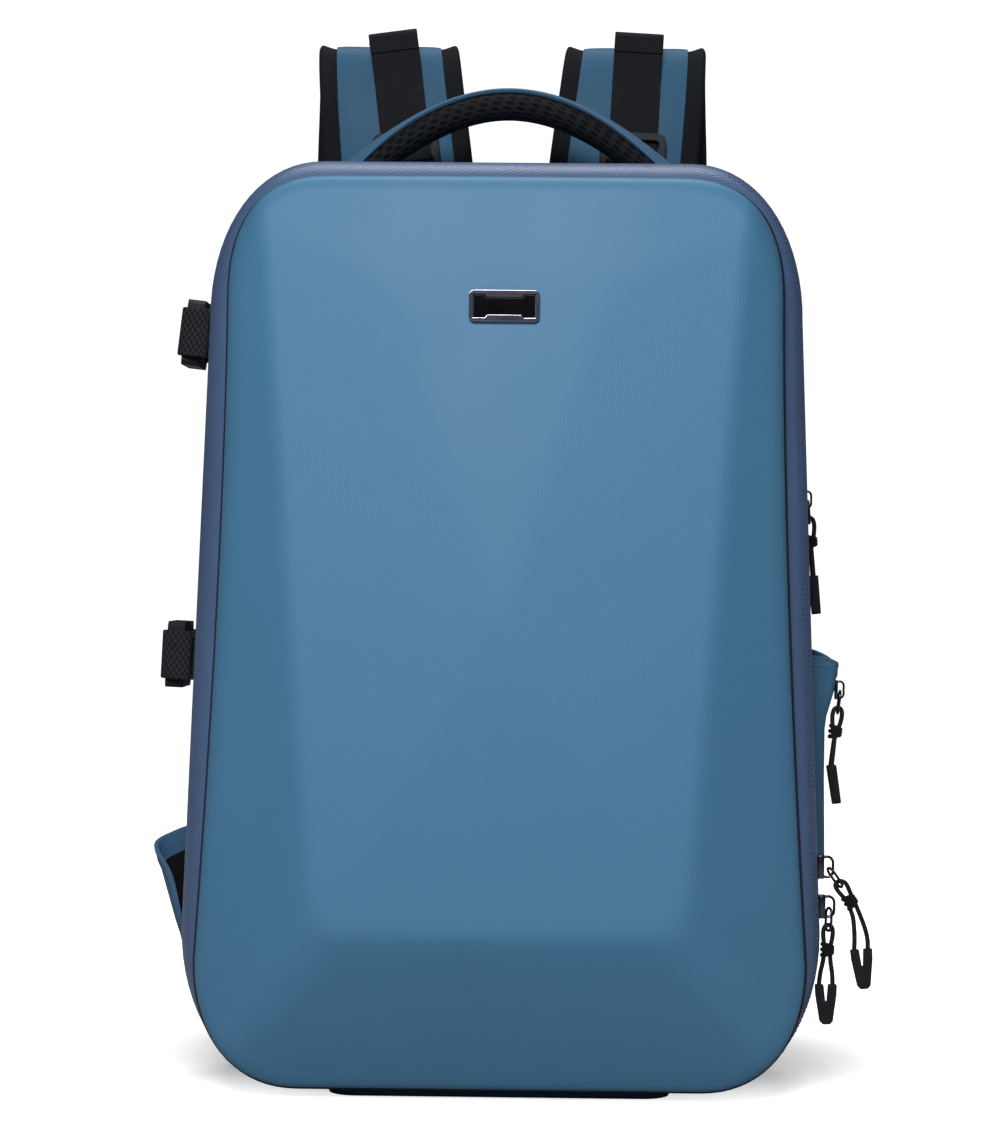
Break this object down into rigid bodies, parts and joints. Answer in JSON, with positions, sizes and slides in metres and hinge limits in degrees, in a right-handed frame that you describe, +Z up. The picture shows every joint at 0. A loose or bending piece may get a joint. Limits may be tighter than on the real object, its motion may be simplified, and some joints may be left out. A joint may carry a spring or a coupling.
{
  "type": "camera backpack",
  "caption": "Hard-shell camera backpack with a faceted blue front, navy zip band, mesh handle, padded shoulder straps, tripod straps on one side and a pocket on the other",
  "frame": {"origin": "On the floor under the middle of the body, on the underside of the base panel", "axes": "+Z is up, -Y is the front with the moulded shell, +X is the wearer's left side with the zip pulls"},
  "size_m": [0.3705, 0.2345, 0.5546],
  "materials": {
    "blue_laminate": "fine-grained blue laminated fabric",
    "navy_tape": "woven navy zip tape",
    "dark_navy": "dark navy piping and base cloth",
    "black_mesh": "black spacer mesh over foam",
    "black_webbing": "ribbed black webbing",
    "black_cord": "braided black cord",
    "black_plastic": "moulded black plastic",
    "gunmetal": "dark gunmetal plating",
    "gloss_black": "bare gloss black plate"
  },
  "bodies": {
    "root": {"front_shell": "blue_laminate", "body_wall": "blue_laminate", "handle_cover": "blue_laminate", "strap_cover_left": "blue_laminate", "strap_cover_right": "blue_laminate", "base_tab_left": "blue_laminate", "base_tab_right": "blue_laminate", "tripod_pocket": "blue_laminate", "side_pocket": "blue_laminate", "zip_tape_front": "navy_tape", "zip_tape_rear": "navy_tape", "zip_coil": "navy_tape", "shell_piping": "dark_navy", "base_panel": "dark_navy", "back_panel": "black_mesh", "handle_grip": "black_mesh", "strap_pad_left": "black_mesh", "strap_pad_right": "black_mesh", "lifter_webbing_left": "black_webbing", "lifter_webbing_right": "black_webbing", "lifter_anchor_left": "black_webbing", "lifter_anchor_right": "black_webbing", "adjuster_webbing_left": "black_webbing", "adjuster_webbing_right": "black_webbing", "side_zip": "black_webbing", "tripod_webbing_front_upper": "black_webbing", "tripod_webbing_rear_upper": "black_webbing", "tripod_webbing_front_lower": "black_webbing", "tripod_webbing_rear_lower": "black_webbing", "pull_cord_side": "black_cord", "pull_cord_pocket": "black_cord", "pull_cord_main_upper": "black_cord", "pull_cord_main_lower": "black_cord", "lifter_buckle_left": "black_plastic", "lifter_buckle_right": "black_plastic", "adjuster_buckle_left": "black_plastic", "adjuster_buckle_right": "black_plastic", "buckle_prongs_upper": "black_plastic", "buckle_socket_upper": "black_plastic", "buckle_prongs_lower": "black_plastic", "buckle_socket_lower": "black_plastic", "cord_end_side": "black_plastic", "cord_end_pocket": "black_plastic", "cord_end_main_upper": "black_plastic", "cord_end_main_lower": "black_plastic", "badge_frame": "gunmetal", "zip_slider_side": "gunmetal", "pull_ring_side": "gunmetal", "zip_slider_pocket": "gunmetal", "pull_ring_pocket": "gunmetal", "zip_slider_main_upper": "gunmetal", "pull_ring_main_upper": "gunmetal", "zip_slider_main_lower": "gunmetal", "pull_ring_main_lower": "gunmetal", "badge_plate": "gloss_black"}
  },
  "joints": []
}
